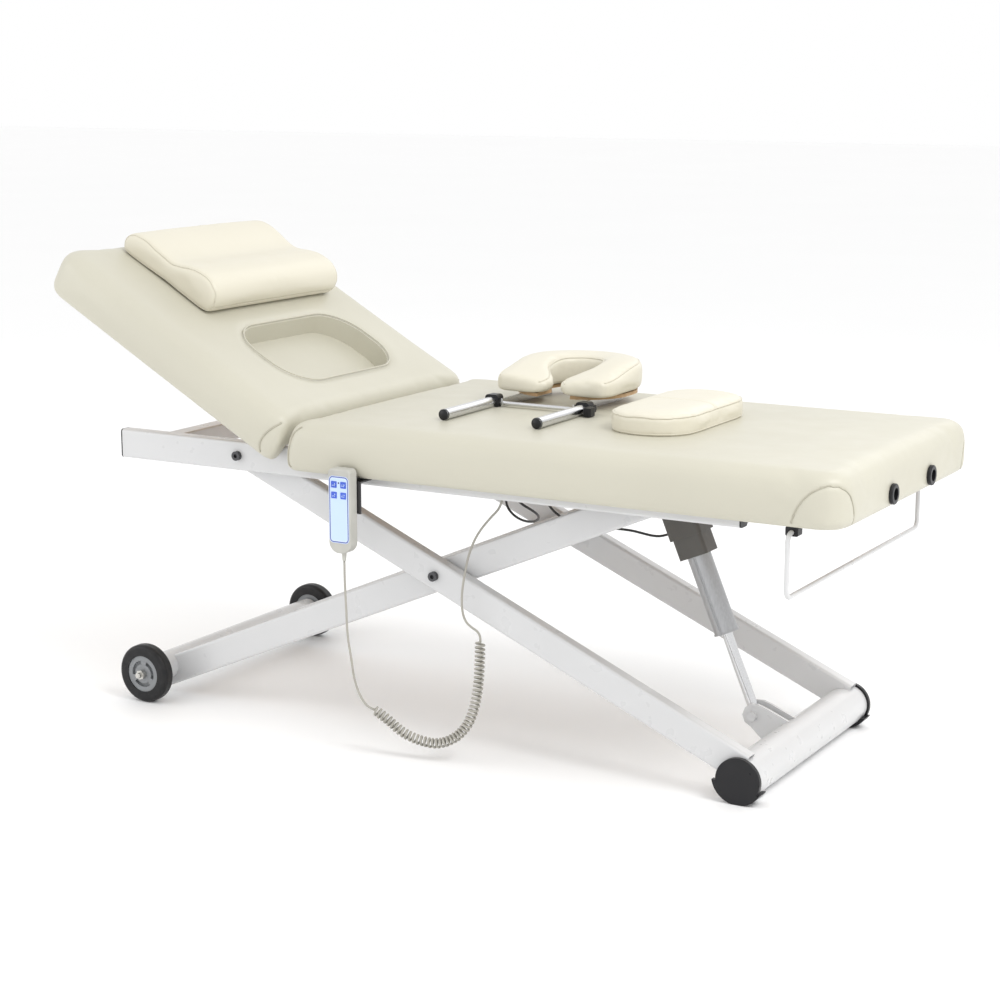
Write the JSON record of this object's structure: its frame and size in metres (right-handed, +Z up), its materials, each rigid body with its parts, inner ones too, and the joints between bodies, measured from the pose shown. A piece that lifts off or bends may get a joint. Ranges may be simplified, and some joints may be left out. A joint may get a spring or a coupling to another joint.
{
  "type": "facial treatment bed",
  "caption": "Electric scissor lift treatment bed with tilting backrest, face recess, head cradle, pillow, plug cushion, coiled cord handset and paper roll wire.",
  "frame": {"origin": "centre of the footprint box on the floor, measured without the cords", "axes": "+X to the foot end, +Y to the side away from the handset, +Z up"},
  "size_m": [1.7906, 0.7484, 0.984],
  "materials": {
    "white_frame": "gloss white powder coat",
    "black_plastic": "satin",
    "cream_vinyl": "smooth upholstery vinyl",
    "plywood": "sanded birch ply",
    "steel": "zinc plated",
    "dark_steel": "blackened",
    "motor_grey": "moulded satin",
    "aluminium": "satin anodised",
    "chrome": "polished",
    "tyre_rubber": "satin rubber",
    "hub_grey": "moulded",
    "handset_beige": "fine texture",
    "keypad_blue": "membrane",
    "button_blue": "membrane",
    "cord_grey": "satin jacket",
    "cable_dark": "satin jacket"
  },
  "bodies": {
    "root": {"side_rails": "white_frame", "rail_end_caps": "black_plastic", "cross_tubes": "white_frame", "motor_brackets": "white_frame", "seat_board": "plywood", "seat_pad": "cream_vinyl", "control_box": "motor_grey", "power_inlet": "black_plastic", "headrest_sockets": "black_plastic", "roller_tracks": "steel", "seat_hinge_leaves": "steel", "roll_holder_clips": "black_plastic", "handset_hanger": "dark_steel", "top_pivot_bolts": "dark_steel", "handset_cord_lower": "cord_grey", "handset_cord_coil": "cord_grey", "handset_cord_upper": "cord_grey", "lift_motor_cable": "cable_dark", "back_motor_cable": "cable_dark"},
    "outer_frame": {"outer_arms": "white_frame", "foot_tube": "white_frame", "mid_pivot_bolts": "dark_steel"},
    "foot_caps": {"foot_caps": "black_plastic"},
    "inner_frame": {"inner_arms": "white_frame", "axle_tube": "white_frame", "inner_cross_shaft": "steel", "axle_bolts": "steel"},
    "roller_left": {"roller_left": "black_plastic"},
    "roller_right": {"roller_right": "black_plastic"},
    "wheel_left": {"tyre_left": "tyre_rubber", "hub_left": "hub_grey"},
    "wheel_right": {"tyre_right": "tyre_rubber", "hub_right": "hub_grey"},
    "lift_motor": {"lift_motor_housing": "motor_grey", "lift_actuator_tube": "aluminium", "lift_motor_cable_end": "cable_dark"},
    "lift_rod": {"lift_rod": "chrome"},
    "back_motor": {"back_motor_housing": "motor_grey", "back_actuator_tube": "aluminium"},
    "back_rod": {"back_rod": "chrome"},
    "backrest": {"backrest_board": "plywood", "backrest_pad": "cream_vinyl", "backrest_hinge_leaves": "steel", "backrest_lever": "white_frame"},
    "roll_holder": {"paper_roll_holder": "white_frame"},
    "pillow": {"pillow": "cream_vinyl"},
    "face_hole_plug": {"face_hole_plug": "cream_vinyl"},
    "cradle": {"cradle_rods": "aluminium", "cradle_clamps": "black_plastic"},
    "cradle_head": {"cradle_arms": "aluminium", "cradle_plate": "plywood", "cradle_cushion": "cream_vinyl"},
    "cradle_lever": {"cradle_lever": "black_plastic"},
    "handset": {"handset_shell": "handset_beige", "handset_panel": "keypad_blue", "handset_relief": "handset_beige"},
    "button_raise_bed": {"button_raise_bed": "button_blue"},
    "button_raise_back": {"button_raise_back": "button_blue"},
    "button_lower_bed": {"button_lower_bed": "button_blue"},
    "button_lower_back": {"button_lower_back": "button_blue"}
  },
  "joints": [
    {"name": "bed_lift", "type": "hinge", "parent": "root", "child": "outer_frame", "pos_m": [-0.4254, 0.0142, 0.555], "axis": [0, 1, 0], "range_deg": [-6.5, 6]},
    {"name": "scissor_pivot", "type": "hinge", "parent": "outer_frame", "child": "inner_frame", "pos_m": [0.0203, 0.0142, 0.3508], "axis": [0, 1, 0], "range_deg": [-11.63, 12.6]},
    {"name": "foot_cap_turn", "type": "hinge", "parent": "outer_frame", "child": "foot_caps", "pos_m": [0.6767, 0.0142, 0.0446], "axis": [0, 1, 0], "range_deg": [-6, 6.5]},
    {"name": "wheel_left_spin", "type": "hinge", "parent": "inner_frame", "child": "wheel_left", "pos_m": [-0.6796, -0.2948, 0.0623], "axis": [0, 1, 0], "continuous": true},
    {"name": "wheel_right_spin", "type": "hinge", "parent": "inner_frame", "child": "wheel_right", "pos_m": [-0.6796, 0.3232, 0.0623], "axis": [0, 1, 0], "continuous": true},
    {"name": "roller_left_spin", "type": "hinge", "parent": "inner_frame", "child": "roller_left", "pos_m": [0.4955, -0.2468, 0.553], "axis": [0, 1, 0], "continuous": true},
    {"name": "roller_right_spin", "type": "hinge", "parent": "inner_frame", "child": "roller_right", "pos_m": [0.4955, 0.2752, 0.553], "axis": [0, 1, 0], "continuous": true},
    {"name": "lift_motor_tilt", "type": "hinge", "parent": "root", "child": "lift_motor", "pos_m": [0.3963, 0.0142, 0.543], "axis": [0, 1, 0], "range_deg": [-11.05, 10.2]},
    {"name": "lift_rod_travel", "type": "slide", "parent": "lift_motor", "child": "lift_rod", "axis": [0.3876, 0, -0.9218], "range_m": [-0.08441, 0.07792]},
    {"name": "backrest_tilt", "type": "hinge", "parent": "root", "child": "backrest", "pos_m": [-0.29315, 0.0142, 0.577], "axis": [0, 1, 0], "range_deg": [-29.5, 30.2]},
    {"name": "back_motor_tilt", "type": "hinge", "parent": "root", "child": "back_motor", "pos_m": [0.0803, 0.0142, 0.5017], "axis": [0, 1, 0], "range_deg": [-1.5, 1.54]},
    {"name": "back_rod_travel", "type": "slide", "parent": "back_motor", "child": "back_rod", "axis": [-1, 0, 0], "range_m": [-0.03682, 0.0377]},
    {"name": "roll_holder_swing", "type": "hinge", "parent": "root", "child": "roll_holder", "pos_m": [0.7853, 0.0142, 0.532], "axis": [0, 1, 0], "range_deg": [-85, 60]},
    {"name": "pillow_lift_off", "type": "slide", "parent": "backrest", "child": "pillow", "axis": [0.4924, 0, 0.8704], "range_m": [0, 0.3]},
    {"name": "plug_lift_off", "type": "slide", "parent": "root", "child": "face_hole_plug", "axis": [0, 0, 1], "range_m": [0, 0.3]},
    {"name": "cradle_lift_off", "type": "slide", "parent": "root", "child": "cradle", "axis": [0, 0, 1], "range_m": [0, 0.3]},
    {"name": "cradle_head_tilt", "type": "hinge", "parent": "cradle", "child": "cradle_head", "pos_m": [0.1083, 0.0012, 0.658], "axis": [1, 0, 0], "range_deg": [0, 40]},
    {"name": "cradle_lever_turn", "type": "hinge", "parent": "cradle", "child": "cradle_lever", "pos_m": [0.2303, 0.0012, 0.662], "axis": [-1, 0, 0], "range_deg": [0, 60]},
    {"name": "handset_lift_off", "type": "slide", "parent": "root", "child": "handset", "axis": [0, 0, 1], "range_m": [0, 0.04]},
    {"name": "press_raise_bed", "type": "slide", "parent": "handset", "child": "button_raise_bed", "axis": [0, 1, 0], "range_m": [0, 0.0012], "stiffness_N_per_m": 900},
    {"name": "press_raise_back", "type": "slide", "parent": "handset", "child": "button_raise_back", "axis": [0, 1, 0], "range_m": [0, 0.0012], "stiffness_N_per_m": 900},
    {"name": "press_lower_bed", "type": "slide", "parent": "handset", "child": "button_lower_bed", "axis": [0, 1, 0], "range_m": [0, 0.0012], "stiffness_N_per_m": 900},
    {"name": "press_lower_back", "type": "slide", "parent": "handset", "child": "button_lower_back", "axis": [0, 1, 0], "range_m": [0, 0.0012], "stiffness_N_per_m": 900}
  ],
  "couplings": [
    {"joint": "scissor_pivot", "follows": "bed_lift", "ratio": -1.938},
    {"joint": "foot_cap_turn", "follows": "bed_lift", "ratio": -1},
    {"joint": "lift_motor_tilt", "follows": "bed_lift", "ratio": 1.7},
    {"joint": "lift_rod_travel", "follows": "bed_lift", "m_per_rad": 0.744},
    {"joint": "back_motor_tilt", "follows": "backrest_tilt", "ratio": 0.0508},
    {"joint": "back_rod_travel", "follows": "backrest_tilt", "m_per_rad": 0.0715}
  ]
}
